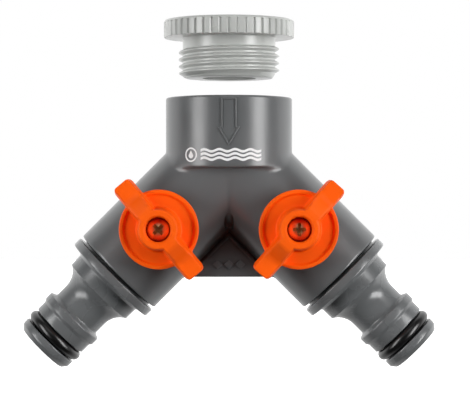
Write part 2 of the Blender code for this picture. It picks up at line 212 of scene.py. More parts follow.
def settle(mesh, field, relaxing=3, rounds=6):
    # evens a remeshed blank out, and moves each vertex onto the surface where the field is zero
    count = len(mesh.vertices)
    points = np.empty(count * 3)
    mesh.vertices.foreach_get("co", points)
    points = points.reshape(-1, 3) / mm
    edges = np.empty(len(mesh.edges) * 2, int)
    mesh.edges.foreach_get("vertices", edges)
    ends = edges.reshape(-1, 2)
    ends = np.concatenate([ends, ends[:, ::-1]])
    neighbours = np.bincount(ends[:, 0], minlength=count)
    probe = 0.01
    flattest = 0.2  # keeps the step short where two surfaces cancel out
    for step in range(rounds):
        if step < relaxing:
            total = np.stack([np.bincount(ends[:, 0], points[ends[:, 1], axis], count)
                              for axis in range(3)], 1)
            points = 0.5 * points + 0.5 * total / neighbours[:, None]
        slope = np.stack([(field(points + probe * unit) - field(points - probe * unit)) / (2 * probe)
                          for unit in np.eye(3)], 1)
        steep = np.maximum((slope ** 2).sum(1), flattest)
        points -= slope * (field(points) / steep)[:, None]
    mesh.vertices.foreach_set("co", (points * mm).ravel())
    mesh.update()
    return mesh


def addPiece(name, mesh, material, body, node=None, sharp=32):
    piece = bpy.data.objects.new(name, mesh)
    scene.collection.objects.link(piece)
    mesh.materials.clear()
    mesh.materials.append(material)
    mesh.shade_smooth()
    mesh.set_sharp_from_angle(angle=math.radians(sharp))
    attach(piece, body)
    if node:
        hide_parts(node)
    return piece


# 3/4 inch and 1/2 inch pipe threads share the pitch and the 55 degree form
thread = {"pitch": 25.4 / 14, "halfAngle": 27.5, "femaleDepth": 1.1, "rootHalf": 0.14, "gap": 0.06,
          "overlap": 0.2}

sides = {"left": -1, "right": 1}
leverAngle = {"left": 130.0, "right": 48.5}  # seen from the front, counted from +X
joints = {joint["name"]: joint for joint in frame["joints"]}
valveCentre = {}
valvePlace = {}
legPlace = {}
for side, sign in sides.items():
    origin = Vector(joints[side + "_valve_turn"]["pos_m"])
    valveCentre[side] = Vector((origin.x, 0, origin.z))
    turn = Euler((math.pi / 2, -math.radians(leverAngle[side]), 0)).to_matrix().to_4x4()
    valvePlace[side] = Matrix.Translation(valveCentre[side]) @ turn
    apex = Vector((0, 0, origin.z + abs(origin.x)))  # both legs lean 45 degrees
    legPlace[side] = Matrix.Translation(apex) @ Matrix.Rotation(-sign * math.pi / 4, 4, "Y")


def plastic(name, base, shade, roughness, grainMm, grainDepth, blotchMm=7.0, roughSpread=0.06, ior=1.53,
            gleam=0.5):
    # moulded thermoplastic: a satin skin from a fine spark-eroded mould, with faint clouding
    # in the colour where the melt flowed, and gloss that wanders a little with it
    material = bpy.data.materials.new(name)
    material.use_nodes = True
    shader = material.node_tree.nodes["Principled BSDF"]
    shader.inputs["IOR"].default_value = ior
    shader.inputs["Specular IOR Level"].default_value = gleam
    place = addNode(material, "ShaderNodeTexCoord")
    cloud = addNode(material, "ShaderNodeTexNoise", {"Vector": place.outputs["Object"]},
                    Scale=1 / (blotchMm * mm), Detail=3.0, Roughness=0.5)
    speck = addNode(material, "ShaderNodeTexNoise", {"Vector": place.outputs["Object"]},
                    Scale=1 / (grainMm * mm), Detail=2.0, Roughness=0.6)
    blend = addNode(material, "ShaderNodeMix", {"Factor": cloud.outputs["Fac"]}, data_type="RGBA")
    blend.inputs["A"].default_value = linear(base)
    blend.inputs["B"].default_value = linear(shade)
    gloss = addNode(material, "ShaderNodeMapRange", {"Value": cloud.outputs["Fac"]})
    gloss.inputs["From Min"].default_value = 0.3
    gloss.inputs["From Max"].default_value = 0.7
    gloss.inputs["To Min"].default_value = roughness - roughSpread / 2
    gloss.inputs["To Max"].default_value = roughness + roughSpread / 2
    bump = addNode(material, "ShaderNodeBump", {"Height": speck.outputs["Fac"]}, Strength=0.5,
                   Distance=grainDepth * mm)
    links = material.node_tree.links
    links.new(blend.outputs["Result"], shader.inputs["Base Color"])
    links.new(gloss.outputs["Result"], shader.inputs["Roughness"])
    links.new(bump.outputs["Normal"], shader.inputs["Normal"])
    return material


def platedSteel():
    # zinc-plated steel passivated yellow: a bright, warm metal with a soft mirror
    material = plastic("yellow_passivated_zinc_plated_steel", "#f6cf9c", "#ecc18c", 0.42, 0.5, 0.001,
                       blotchMm=1.2)
    material.node_tree.nodes["Principled BSDF"].inputs["Metallic"].default_value = 1.0
    return material


finishes = {
    # colour, second colour, roughness, grain and its depth in mm; the grain is coarser than the
    # real 0.1 mm, so that it shows
    "housing": plastic("grey_abs_moulded_satin", "#5d5f60", "#636566", 0.31, 0.35, 0.006),
    "nipple": plastic("grey_abs_moulded_plain", "#636566", "#696b6c", 0.27, 0.4, 0.004),
    "reducer": plastic("light_grey_abs_moulded", "#b4b6b3", "#bbbdba", 0.30, 0.4, 0.004),
    "knob": plastic("orange_abs_moulded_fine_grain", "#ff5900", "#ff6300", 0.55, 0.45, 0.004, ior=1.46,
                    gleam=0.2),
    "rubber": plastic("black_epdm_rubber_moulded", "#0c0c0c", "#151515", 0.30, 0.3, 0.004),
    "seat": plastic("white_ptfe_turned", "#e2e1dc", "#dad9d4", 0.45, 0.4, 0.003),
    "acetal": plastic("white_acetal_moulded", "#dcdbd6", "#d3d2cc", 0.28, 0.4, 0.002),
    "ink": plastic("white_pad_print_ink", "#e9eaea", "#f4f4f4", 0.55, 0.3, 0.002, ior=1.45),
    "steel": platedSteel(),
}
print("materials:", len(finishes))


housing = {
    "collarRadius": 16.4, "collarHeight": 18.3, "rimEdge": 0.5, "ledgeFillet": 1.4, "sideFillet": 0.3,
    "barrelRadius": 13.07, "barrelEnd": 40.64, "barrelEdge": 0.4, "valleyFillet": 0.35,
    "webHalf": 1.6, "webBottom": 46.5, "webTop": 26.0, "webReach": 12.5, "webFillet": 0.5, "webEdge": 0.35,
    "filletAside": (4, 10), "filletForward": (5, 10),
    "bossRadius": 6.2, "bossFoot": 5, "bossHeight": 14.0, "bossFillet": 0.6, "bossEdge": 0.3,
    "hollowHigh": 30.0, "hollowLow": 33.4, "hollowRadius": 1.25, "hollowDepth": 0.55, "hollowEnd": 1.15,
    "hollowSlant": 0.72,
    "mouth": 15.9, "mouthDepth": 2, "bore": 12.4, "boreDepth": 13, "through": 9, "throughDepth": 17,
    "grooveFrom": -11.4, "grooveTurns": 7, "waterway": 7.5, "chamber": 10.6, "chamberFrom": 16.5,
    "chamberEnd": 40.0, "chamberMouth": 11.2, "chamberPast": 0.96, "stemHole": 3.9, "stemHoleFrom": 7,
    "voxel": 0.36,
}


def housingField(points):
    h = housing
    left, right = (rodField(inPlace(points, legPlace[side]), h["barrelRadius"], -h["barrelEnd"], 0,
                            h["barrelEdge"]) for side in sides)
    shape = roundJoin(left, right, h["valleyFillet"])
    aside, forward = np.abs(points[:, 0]), np.abs(points[:, 1])
    plate = roundMeet(forward - h["webHalf"], -h["webBottom"] - points[:, 2], h["webEdge"])
    plate = np.maximum(plate, np.maximum(aside - h["webReach"], points[:, 2] + h["webTop"]))
    shape = roundJoin(shape, plate, h["webFillet"])
    for side in sides:
        boss = rodField(inPlace(points, valvePlace[side]), h["bossRadius"], h["bossFoot"],
                        h["bossHeight"], h["bossEdge"])
        shape = roundJoin(shape, boss, h["bossFillet"])
    collar = rodField(points, h["collarRadius"], -h["collarHeight"], 0, h["rimEdge"])
    # the ledge's fillet is wide at its four corners, and fine at the front, the back and the sides
    facing = 1
    for reach, (start, full) in ((aside, h["filletAside"]), (forward, h["filletForward"])):
        facing = facing * np.clip((reach - start) / (full - start), 0, 1)
    return roundJoin(shape, collar, h["sideFillet"] + (h["ledgeFillet"] - h["sideFillet"]) * facing)


def valleyDepth(drop):
    # how far the crease between the barrels stands off the middle plane, in mm, this far below the mouth
    fromAxis = (drop + legPlace["left"].translation.z / mm) * math.sin(math.pi / 4)
    return math.sqrt(housing["barrelRadius"] ** 2 - fromAxis ** 2)


def wrapped(mesh, radius):
    # bends a flat drawing in the XZ plane round the collar's front
    for vert in mesh.vertices:
        angle = vert.co.x / (radius * mm)
        reach = radius * mm - vert.co.y
        vert.co.x = reach * math.sin(angle)
        vert.co.y = -reach * math.cos(angle)
    return mesh


arrow = {"shaftHalf": 1.95, "headHalf": 2.8, "top": -0.75, "shaftEnd": -8.0, "tip": -12.9, "line": 0.42,
         "proud": 0.3, "sunk": 0.6, "edge": 0.1, "bend": 0.4, "bends": 6}


def flowArrow():
    # the flow arrow's outline, a raised line
    bm = bmesh.new()
    a = arrow
    outline = [(-a["shaftHalf"], a["top"]), (a["shaftHalf"], a["top"]), (a["shaftHalf"], a["shaftEnd"]),
               (a["headHalf"], a["shaftEnd"]), (0, a["tip"]), (-a["headHalf"], a["shaftEnd"]),
               (-a["shaftHalf"], a["shaftEnd"])]
    face = bm.faces.new([bm.verts.new((x * mm, a["sunk"] * mm, z * mm)) for x, z in outline])
    bm.normal_update()
    line = bmesh.ops.inset_region(bm, faces=[face], thickness=a["line"] * mm, use_boundary=True,
                                  use_even_offset=True)["faces"]
    bmesh.ops.delete(bm, geom=[face], context="FACES")
    grown = bmesh.ops.extrude_face_region(bm, geom=line)["geom"]
    front = [item for item in grown if isinstance(item, bmesh.types.BMVert)]
    bmesh.ops.translate(bm, verts=front, vec=(0, -(a["sunk"] + a["proud"]) * mm, 0))
    bmesh.ops.recalc_face_normals(bm, faces=bm.faces)
    lip = [edge for edge in bm.edges if all(vert in front for vert in edge.verts)
           and not all(abs(face.normal.y) > 0.5 for face in edge.link_faces)]
    bmesh.ops.bevel(bm, geom=lip, offset=a["edge"] * mm, segments=2, profile=0.5, affect="EDGES",
                    material=-1)
    for number in range(-a["bends"], a["bends"] + 1):  # edge loops to bend along
        bmesh.ops.bisect_plane(bm, geom=[*bm.verts, *bm.edges, *bm.faces], dist=1e-7,
                               plane_co=(number * a["bend"] * mm, 0, 0), plane_no=(1, 0, 0))
    return wrapped(keepMesh(bm), housing["collarRadius"])


trim = {"lineFromAxis": 13.9, "lineWide": 0.5, "lineProud": 0.9, "lineThick": 1.0, "lineEdge": 0.12,
        "lineShort": 0.4, "diamond": 1.8, "diamondGap": 2.9, "diamondProud": 0.6, "diamondSunk": 0.5,
        "diamondEdge": 0.1, "diamondHeight": -43.3}


def webTrim():
    # a fine raised line along each barrel, front and back, and three small diamonds on the web's front
    t = trim
    raised = []
    apex = -legPlace["left"].translation.z / mm
    lineEnd = (housing["webBottom"] - t["lineShort"] - apex) / math.cos(math.pi / 4) - t["lineFromAxis"]
    out = housing["webHalf"] + t["lineProud"] - t["lineThick"] / 2
    for side, sign in sides.items():
        for half in (-1, 1):
            raised.append(brick(t["lineWide"], t["lineThick"], -lineEnd, -t["lineFromAxis"] - 0.2,
                                centre=(-sign * t["lineFromAxis"], half * out), edge=t["lineEdge"],
                                place=legPlace[side]))
    for number in (-1, 0, 1):
        stand = Matrix.Rotation(math.pi / 2, 4, "X") @ Matrix.Rotation(math.pi / 4, 4, "Z")
        stand.translation = Vector((number * t["diamondGap"], -housing["webHalf"], t["diamondHeight"])) * mm
        raised.append(brick(t["diamond"], t["diamond"], -t["diamondSunk"], t["diamondProud"],
                            edge=t["diamondEdge"], place=stand))
    return raised


def femaleGroove(bore, lowest, turns):
    # the cut of an internal thread, a little truncated at its crest and root; it starts at the
    # first whole pitch above the lowest height, as the reducer's ridge does, so that the two mesh
    t = thread
    start = math.ceil(lowest / t["pitch"]) * t["pitch"]
    inner, outer, narrow = bore - t["overlap"], bore + t["femaleDepth"], t["rootHalf"]
    wide = min(narrow + (outer - inner) * math.tan(math.radians(t["halfAngle"])),
               t["pitch"] / 2 - t["gap"])
    half = [(inner, wide), (outer - 0.06, narrow + 0.03), (outer, narrow / 2)]
    line = [(radius, start - rise) for radius, rise in half]
    line += [(radius, start + rise) for radius, rise in reversed(half)]
    return helix(line, turns, 72)


def buildHousing():
    h = housing
    blanks = [rod(h["collarRadius"], -h["collarHeight"], 0, 96),
              brick(2 * h["webReach"], 2 * h["webHalf"], -h["webBottom"], -h["webTop"])]
    for side in sides:
        blanks.append(rod(h["barrelRadius"], -h["barrelEnd"], 0, 96, legPlace[side]))
        blanks.append(rod(h["bossRadius"], h["bossFoot"], h["bossHeight"], 48, valvePlace[side]))
    mesh = evaluated(merged(*blanks), "REMESH", mode="VOXEL", voxel_size=h["voxel"] * mm)
    mesh = settle(mesh, housingField)
    for raised in (flowArrow(), *webTrim()):
        mesh = combine(mesh, raised, "UNION")
    # a shallow hollow down the valley where the two barrels part, front and back: a rod, its axis
    # standing off the crease, outward and down
    off = (h["hollowRadius"] - h["hollowDepth"]) * h["hollowSlant"]
    for facing in (-1, 1):
        foot, head = (Vector((0, facing * (valleyDepth(drop) + off), -drop - off))
                      for drop in (h["hollowLow"], h["hollowHigh"]))
        along = foot - head
        place = along.to_track_quat("Z", "Y").to_matrix().to_4x4()
        place.translation = head * mm
        hollow = rod(h["hollowRadius"], 0, along.length, 32, place, edge=h["hollowEnd"])
        mesh = combine(mesh, hollow, "DIFFERENCE")
    bore = roundedLine([(0, 1), (h["mouth"], 1), (h["bore"], -h["mouthDepth"], 0.5),
                        (h["bore"], -h["boreDepth"], 0.4), (h["through"], -h["boreDepth"], 0.3),
                        (h["through"], -h["throughDepth"]), (0, -h["throughDepth"])], closed=False)
    mesh = combine(mesh, turned(bore, 144, closed=False), "DIFFERENCE")
    mesh = combine(mesh, femaleGroove(h["bore"], h["grooveFrom"], h["grooveTurns"]), "DIFFERENCE")
    outside = -h["barrelEnd"] - h["chamberPast"]
    waterway = roundedLine([(0, 0), (h["waterway"], 0), (h["waterway"], -h["chamberFrom"], 0.3),
                            (h["chamber"], -h["chamberFrom"], 0.3), (h["chamber"], -h["chamberEnd"], 0.3),
                            (h["chamberMouth"], outside), (0, outside)], closed=False)
    for side in sides:
        mesh = combine(mesh, turned(waterway, 96, legPlace[side], closed=False), "DIFFERENCE")
        hole = rod(h["stemHole"], h["stemHoleFrom"], h["bossHeight"] + 1, 48, valvePlace[side])
        mesh = combine(mesh, hole, "DIFFERENCE")
    addPiece("housing_shell", mesh, finishes["housing"], "housing", "housing")
    print("housing:", len(mesh.vertices), "vertices")


mark = {"height": -15.1, "proud": 0.03, "sunk": 0.05, "ringAt": -10.3, "ringOuter": 1.85, "ringInner": 1.45,
        "waveFrom": -7.4, "waveTo": 8.6, "waveGap": 1.05, "waveHalf": 0.32, "waveSwing": 0.28, "waves": 4,
        "drop": 0.72, "dropPinch": 0.72, "dropTail": 0.55, "dropLower": 0.2}


def printedMark():
    # a plain water mark: a drop in a ring, and three waves
    m = mark
    bm = bmesh.new()
    low = m["height"]
    ring = bmesh.ops.create_circle(bm, segments=48, radius=m["ringInner"])["verts"]
    rim = [edge for vert in ring for edge in vert.link_edges]
    grown = bmesh.ops.extrude_edge_only(bm, edges=list(set(rim)))["geom"]
    outer = [item for item in grown if isinstance(item, bmesh.types.BMVert)]
    bmesh.ops.scale(bm, verts=outer, vec=(m["ringOuter"] / m["ringInner"],) * 3)
    bmesh.ops.translate(bm, verts=ring + outer, vec=(m["ringAt"], low, 0))
    drop = bmesh.ops.create_circle(bm, cap_ends=True, segments=32, radius=m["drop"])["verts"]
    for vert in drop:  # the upper half narrows and rises to the drop's tail
        lift = max(vert.co.y, 0) / m["drop"]
        vert.co.x *= 1 - m["dropPinch"] * lift ** 1.4
        vert.co.y += m["dropTail"] * lift ** 1.6 - m["dropLower"]
    bmesh.ops.translate(bm, verts=drop, vec=(m["ringAt"], low, 0))
    for row in (-1, 0, 1):
        verts = bmesh.ops.create_grid(bm, x_segments=64, y_segments=1, size=1)["verts"]
        for vert in verts:
            along = (vert.co.x + 1) / 2
            swing = m["waveSwing"] * math.sin(math.tau * m["waves"] * along)
            vert.co.x = m["waveFrom"] + (m["waveTo"] - m["waveFrom"]) * along
            vert.co.y = low + row * m["waveGap"] + swing + vert.co.y * m["waveHalf"]
    bm.normal_update()
    bmesh.ops.reverse_faces(bm, faces=[face for face in bm.faces if face.normal.z < 0])
    bmesh.ops.solidify(bm, geom=list(bm.faces), thickness=m["proud"] + m["sunk"])
    # the drawing lies in XY: stand it up, its front to -Y
    bmesh.ops.rotate(bm, verts=bm.verts, matrix=Matrix.Rotation(math.pi / 2, 3, "X"))
    front = min(vert.co.y for vert in bm.verts)
    bmesh.ops.translate(bm, verts=bm.verts, vec=(0, -front - m["proud"], 0))
    bmesh.ops.scale(bm, verts=bm.verts, vec=(mm, mm, mm))
    bmesh.ops.recalc_face_normals(bm, faces=bm.faces)
    mesh = wrapped(keepMesh(bm), housing["collarRadius"])
    addPiece("collar_print", mesh, finishes["ink"], "housing")
    print("printed mark:", len(mesh.vertices), "vertices")


reducer = {
    "bottom": 5.16, "bottomRadius": 11.3, "bottomTaper": 1.2, "flangeLow": 15.63, "flangeHigh": 20.27,
    "flangeRadius": 16.93, "root": 12.05, "crest": 13.1, "threadFrom": 1.9, "turns": 3.7,
    "turnsBelow": 0.6, "runOut": 0.12, "ridgeFoot": 0.92, "ridgeTop": 0.24, "ridgeSunk": 0.4,
    "flutes": 48, "fluteWide": 0.95, "fluteDepth": 0.5, "fluteTopGap": 0.65, "fluteEdge": 0.13,
    "mouth": 12.15, "mouthDepth": 1.7, "femaleBore": 9.45, "ledge": 9.56, "femaleFrom": 3.2,
    "femaleTurns": 5, "through": 7.0,
}


def buildReducer():
    r = reducer
    core = roundedLine([(0, r["flangeHigh"]), (r["flangeRadius"], r["flangeHigh"], 0.6),
                        (r["flangeRadius"], r["flangeLow"], 0.2), (r["root"], r["flangeLow"], 0.3),
                        (r["root"], r["bottom"] + r["bottomTaper"], 0.3),
                        (r["bottomRadius"], r["bottom"], 0.25), (0, r["bottom"])], closed=False)
    mesh = turned(core, 192, closed=False)
    start = math.ceil((r["bottom"] + r["threadFrom"]) / thread["pitch"]) * thread["pitch"]
    half = [(r["root"] - r["ridgeSunk"], r["ridgeFoot"]), (r["crest"] - 0.12, r["ridgeTop"]),
            (r["crest"], r["ridgeTop"] / 2)]
    ridge = [(radius, start - rise) for radius, rise in half]
    ridge += [(radius, start + rise) for radius, rise in reversed(half)]
    male = helix(ridge, r["turns"], 96, fade=r["runOut"], root=r["root"], before=r["turnsBelow"])
    mesh = combine(mesh, male, "UNION")
    hollow = roundedLine([(0, r["flangeHigh"] + 1), (r["mouth"], r["flangeHigh"] + 1),
                          (r["femaleBore"], r["flangeHigh"] - r["mouthDepth"], 0.3),
                          (r["femaleBore"], r["ledge"], 0.3), (r["through"], r["ledge"], 0.3),
                          (r["through"], r["bottom"] - 1), (0, r["bottom"] - 1)], closed=False)
    mesh = combine(mesh, turned(hollow, 144, closed=False), "DIFFERENCE")
    groove = femaleGroove(r["femaleBore"], r["ledge"] + r["femaleFrom"], r["femaleTurns"])
    mesh = combine(mesh, groove, "DIFFERENCE")
    # each flute is the corner of a square rod, cut into the flange's edge
    stand = Matrix.Rotation(math.pi / 4, 4, "Z")
    stand.translation.x = (r["flangeRadius"] + r["fluteWide"] / math.sqrt(2) - r["fluteDepth"]) * mm
    flute = brick(r["fluteWide"], r["fluteWide"], r["flangeLow"] - 1, r["flangeHigh"] - r["fluteTopGap"],
                  place=stand, edge=r["fluteEdge"])
    bm = bmesh.new()
    for number in range(r["flutes"]):
        bm.from_mesh(flute)
        fresh = bm.verts[-len(flute.vertices):]
        bmesh.ops.rotate(bm, verts=fresh, matrix=Matrix.Rotation(math.tau * number / r["flutes"], 3, "Z"))
    mesh = combine(mesh, keepMesh(bm), "DIFFERENCE")
    addPiece("reducer_shell", mesh, finishes["reducer"], "reducer", "thread_reducer")
    print("reducer:", len(mesh.vertices), "vertices")


washers = {
    "collar": {"outer": 12.1, "inner": 8.5, "low": 0.3 - housing["boreDepth"], "thick": 2.2},
    "reducer": {"outer": 9.15, "inner": 6, "low": 0.3 + reducer["ledge"], "thick": 2},
}


def washer(which):
    w = washers[which]
    high = w["low"] + w["thick"]
    return turned(roundedLine([(w["outer"], high, 0.25), (w["outer"], w["low"], 0.25),
                               (w["inner"], w["low"], 0.25), (w["inner"], high, 0.25)]), 96)


def buildWashers():
    addPiece("collar_seal", washer("collar"), finishes["rubber"], "housing", "collar_washer")
    addPiece("reducer_seal", washer("reducer"), finishes["rubber"], "reducer_carrier",
             "reducer_washer")
    print("washers:", len(washers))


nipple = {
    # half the section: (radius, distance along the leg, corner radius) in mm
    "spigot": [(9.8, 33.5, 0.2), (10.3, 34.0, 0.2), (10.3, 36.0, 0.1), (8.0, 36.0, 0.2), (8.0, 39.0, 0.2),
               (10.3, 39.0, 0.1), (10.3, 40.94)],
    "flange": [(11.5, 40.94), (11.5, 41.55, 0.08), (13.15, 41.55, 0.25), (13.15, 43.8, 0.4),
               (10.86, 43.8, 0.35), (10.06, 44.6, 0.25)],
    "neck": 7.06, "sweepRadius": 5.57, "sweepReach": 4.9, "sweepEnd": 52.8,
    "bead": [(7.06, 56.2, 0.5), (8.53, 56.9, 0.45), (8.53, 58.8, 0.45)],
    "tip": [(8.0, 59.6, 0.4), (8.0, 62.3, 0.25), (5.5, 62.3, 0.2), (5.5, 65.7, 0.2), (8.05, 65.7, 0.3),
            (8.05, 67.4, 0.9), (7.0, 68.7, 0.4)],
    "bore": [(4.3, 68.7, 0.3), (4.3, 33.5, 0.3)],
    # each ring: radius, distance along the leg and half its section
    "tipRing": (7.05, 64.0, 1.42), "spigotRing": (9.3, 37.5, 1.0),
}


def nippleLine():
    n = nipple
    sweep = math.asin(n["sweepReach"] / n["sweepRadius"])
    arc = [(n["neck"] + n["sweepRadius"] * (1 - math.cos(sweep * k / 12)),
            n["sweepEnd"] - n["sweepRadius"] * math.sin(sweep * k / 12)) for k in range(12, -1, -1)]
    corners = [*n["spigot"], *n["flange"], *arc, *n["bead"], *n["tip"], *n["bore"]]
    return [(corner[0], -corner[1], *corner[2:]) for corner in corners]


def ringLine(radius, height, section, points=20):
    return [(radius + section * math.cos(angle), height + section * math.sin(angle))
            for angle in (math.tau * k / points for k in range(points))]


seat = {"ballCentre": 25, "face": 7.5, "faceOuter": 5.9, "outer": 10.3, "bore": 4.3, "front": 4.6,
        "back": 8.2}


def seatLine(flow):
    # one ball seat: its round face follows the ball
    s = seat
    back = s["ballCentre"] + flow * s["back"]
    face = [(radius, s["ballCentre"] + flow * math.sqrt(s["face"] ** 2 - radius ** 2))
            for radius in np.linspace(s["faceOuter"], s["bore"], 5)]
    corners = [(s["outer"], back, 0.3), (s["outer"], s["ballCentre"] + flow * s["front"], 0.3), *face,
               (s["bore"], back, 0.2)]
    return [(corner[0], -corner[1], *corner[2:]) for corner in corners]


def buildLeg(side):
    place = legPlace[side]
    addPiece(side + "_hose_nipple", turned(roundedLine(nippleLine()), 144, place), finishes["nipple"],
             "housing", side + "_nipple", sharp=40)
    for name, node, ring in (("tip_seal", "nipple_tip_ring", nipple["tipRing"]),
                             ("spigot_seal", "spigot_ring", nipple["spigotRing"])):
        radius, distance, section = ring
        addPiece(f"{side}_{name}", turned(ringLine(radius, -distance, section), 96, place),
                 finishes["rubber"], "housing", f"{side}_{node}")
    for name, flow in (("upstream", -1), ("downstream", 1)):
        addPiece(f"{side}_{name}_seal_seat", turned(roundedLine(seatLine(flow)), 72, place),
                 finishes["seat"], "housing", f"{side}_{name}_seat")
    print(side, "leg")


knob = {
    "radius": 10.1, "back": 14.4, "floor": 16.55, "rim": 17.2, "dish": 9.0, "dishEdge": 0.6,
    "dishCorner": 0.25, "hubTop": 24.0, "hubFoot": 5.6, "hubHead": 4.9, "edge": 0.35, "fillet": 0.4,
    "leverHalf": 14.9, "leverWide": 2.3, "leverLow": 1.1, "leverTop": 19.8, "draft": 0.07, "tipCorner": 0.8,
    "crestFoot": 9.9, "crestHead": 5.9, "crestCorner": 0.6, "crestFillet": 0.8, "hubFillet": 0.3,
    "wellMouth": 4.6, "wellRadius": 3.15, "wellFloor": 18.6, "screwHole": 1.7, "socket": 5.7,
    "socketTop": 17.0, "voxel": 0.2,
}


def knobField(points):
    k = knob
    radial = np.hypot(points[:, 0], points[:, 1])
    height = points[:, 2]
    disc = rodField(points, k["radius"], k["back"], k["rim"], k["edge"])
    dish = rodField(points, k["dish"], k["floor"], k["hubTop"] + 9, k["dishEdge"])
    disc = roundMeet(disc, -dish, k["dishCorner"])
    taper = (k["hubFoot"] - k["hubHead"]) / (k["hubTop"] - k["floor"])
    hub = (radial - k["hubFoot"] + taper * (height - k["floor"])) / math.hypot(1, taper)
    hub = roundMeet(hub, height - k["hubTop"], k["edge"])
    across = (np.abs(points[:, 1]) - k["leverWide"] - k["draft"] * (k["leverTop"] - height)) \
        / math.hypot(1, k["draft"])
    bar = roundMeet(np.abs(points[:, 0]) - k["leverHalf"], across, k["tipCorner"])
    bar = roundMeet(bar, np.maximum(height - k["leverTop"], k["back"] + k["leverLow"] - height), k["edge"])
    lean = (k["crestFoot"] - k["crestHead"]) / (k["hubTop"] - k["leverTop"])
    slope = (np.abs(points[:, 0]) - k["crestHead"] + lean * (height - k["hubTop"])) / math.hypot(1, lean)
    crest = roundMeet(slope, height - k["hubTop"], k["crestCorner"])
    crest = roundMeet(crest, across, k["edge"])
    lever = roundJoin(bar, crest, k["crestFillet"])
    grip = roundJoin(hub, lever, k["hubFillet"])
    grip = np.maximum(grip, k["back"] + 0.5 - height)
    return roundJoin(disc, grip, k["fillet"])


def buildKnob(side):
    k = knob
    dish = rod(k["dish"], k["floor"], k["hubTop"] + 2, 96)
    disc = combine(rod(k["radius"], k["back"], k["rim"], 96), dish, "DIFFERENCE")
    hub = rod(k["hubFoot"], k["floor"] - 1, k["hubTop"], 64)
    bar = brick(2 * k["leverHalf"], 2 * k["leverWide"] + 0.4, k["back"] + k["leverLow"], k["leverTop"])
    crest = brick(2 * k["crestFoot"], 2 * k["leverWide"], k["leverTop"] - 1, k["hubTop"],
                  top=(k["crestHead"] / k["crestFoot"], 1))
    mesh = evaluated(merged(disc, hub, bar, crest), "REMESH", mode="VOXEL", voxel_size=k["voxel"] * mm)
    mesh = settle(mesh, knobField)
    well = roundedLine([(0, k["hubTop"] + 1), (k["wellMouth"], k["hubTop"] + 1),
                        (k["wellRadius"], k["hubTop"] - 0.4, 0.3), (k["wellRadius"], k["wellFloor"], 0.3),
                        (k["screwHole"], k["wellFloor"]), (k["screwHole"], k["back"] - 1),
                        (0, k["back"] - 1)], closed=False)
    mesh = combine(mesh, turned(well, 64, closed=False), "DIFFERENCE")
    mesh = combine(mesh, brick(k["socket"], k["socket"], k["back"] - 1, k["socketTop"]), "DIFFERENCE")
    mesh.transform(valvePlace[side])
    addPiece(side + "_knob_grip", mesh, finishes["knob"], side + "_valve", side + "_knob",
             sharp=40)
    print(side, "knob:", len(mesh.vertices), "vertices")


screw = {
    "head": 2.9, "domeFoot": 19.75, "domeRise": 1.85, "skirt": 19.4, "under": 18.9, "shank": 1.2,
    "shankEnd": 10.4, "point": 9.9, "slotLong": 1.7, "slotWide": 0.6, "slotFlare": (2.5, 1.6),
    "slotLow": 19.7, "slotHigh": 22.3,
    "crossTurn": {"left": 45.0, "right": 0.0},  # seen from the front, in degrees
}


def buildScrew(side):
    s = screw
    dome = [(s["head"] * math.sin(angle), s["domeFoot"] + s["domeRise"] * math.cos(angle))
            for angle in np.linspace(0, math.pi / 2, 10)]
    body = roundedLine([(s["head"], s["skirt"]), (s["head"], s["under"], 0.15), (s["shank"], s["under"]),
                        (s["shank"], s["shankEnd"]), (0, s["point"])], closed=False)
    mesh = turned([*dome, *body], 48, closed=False)
    first = math.radians(s["crossTurn"][side] - leverAngle[side])
    for quarter in (0, 1):
        turn = Matrix.Rotation(first + quarter * math.pi / 2, 4, "Z")
        slot = brick(s["slotLong"], s["slotWide"], s["slotLow"], s["slotHigh"], top=s["slotFlare"],
                     place=turn)
        mesh = combine(mesh, slot, "DIFFERENCE")
    mesh.transform(valvePlace[side])
    addPiece(side + "_cross_screw", mesh, finishes["steel"], side + "_valve",
             side + "_knob_screw")


stem = {
    "radius": 3.6, "top": 14.2, "groove": 2.3, "grooveHigh": 12.9, "grooveLow": 11.3, "flange": 4.3,
    "flangeTop": 9.0, "flangeLow": 7.7, "square": 5.1, "squareTop": 16.7, "bladeLong": 6.8,
    "bladeWide": 2.2, "bladeLow": 5.6, "hole": 1.5, "holeLow": 9.6,
    "ring": (3.1, 12.1, 0.5),  # radius, height and half its section
}


def buildStem(side):
    s = stem
    line = roundedLine([(0, s["top"]), (s["radius"], s["top"], 0.2), (s["radius"], s["grooveHigh"], 0.1),
                        (s["groove"], s["grooveHigh"], 0.15), (s["groove"], s["grooveLow"], 0.15),
                        (s["radius"], s["grooveLow"], 0.1), (s["radius"], s["flangeTop"], 0.2),
                        (s["flange"], s["flangeTop"], 0.2), (s["flange"], s["flangeLow"], 0.2),
                        (0, s["flangeLow"])], closed=False)
    square = brick(s["square"], s["square"], s["top"] - 0.3, s["squareTop"], edge=0.25)
    blade = brick(s["bladeLong"], s["bladeWide"], s["bladeLow"], s["flangeLow"] + 0.5, edge=0.2)
    mesh = combine(combine(turned(line, 64, closed=False), square, "UNION"), blade, "UNION")
    mesh = combine(mesh, rod(s["hole"], s["holeLow"], s["squareTop"] + 1.3, 32), "DIFFERENCE")
    mesh.transform(valvePlace[side])
    addPiece(side + "_quarter_turn_stem", mesh, finishes["acetal"], side + "_valve",
             side + "_valve_stem")
    ring = turned(ringLine(*s["ring"], points=14), 64, valvePlace[side])
    addPiece(side + "_stem_seal", ring, finishes["rubber"], side + "_valve",
             side + "_stem_ring")


ball = {"radius": 7.2, "bore": 4.0, "slotWide": 2.8, "slotLow": 5.3}


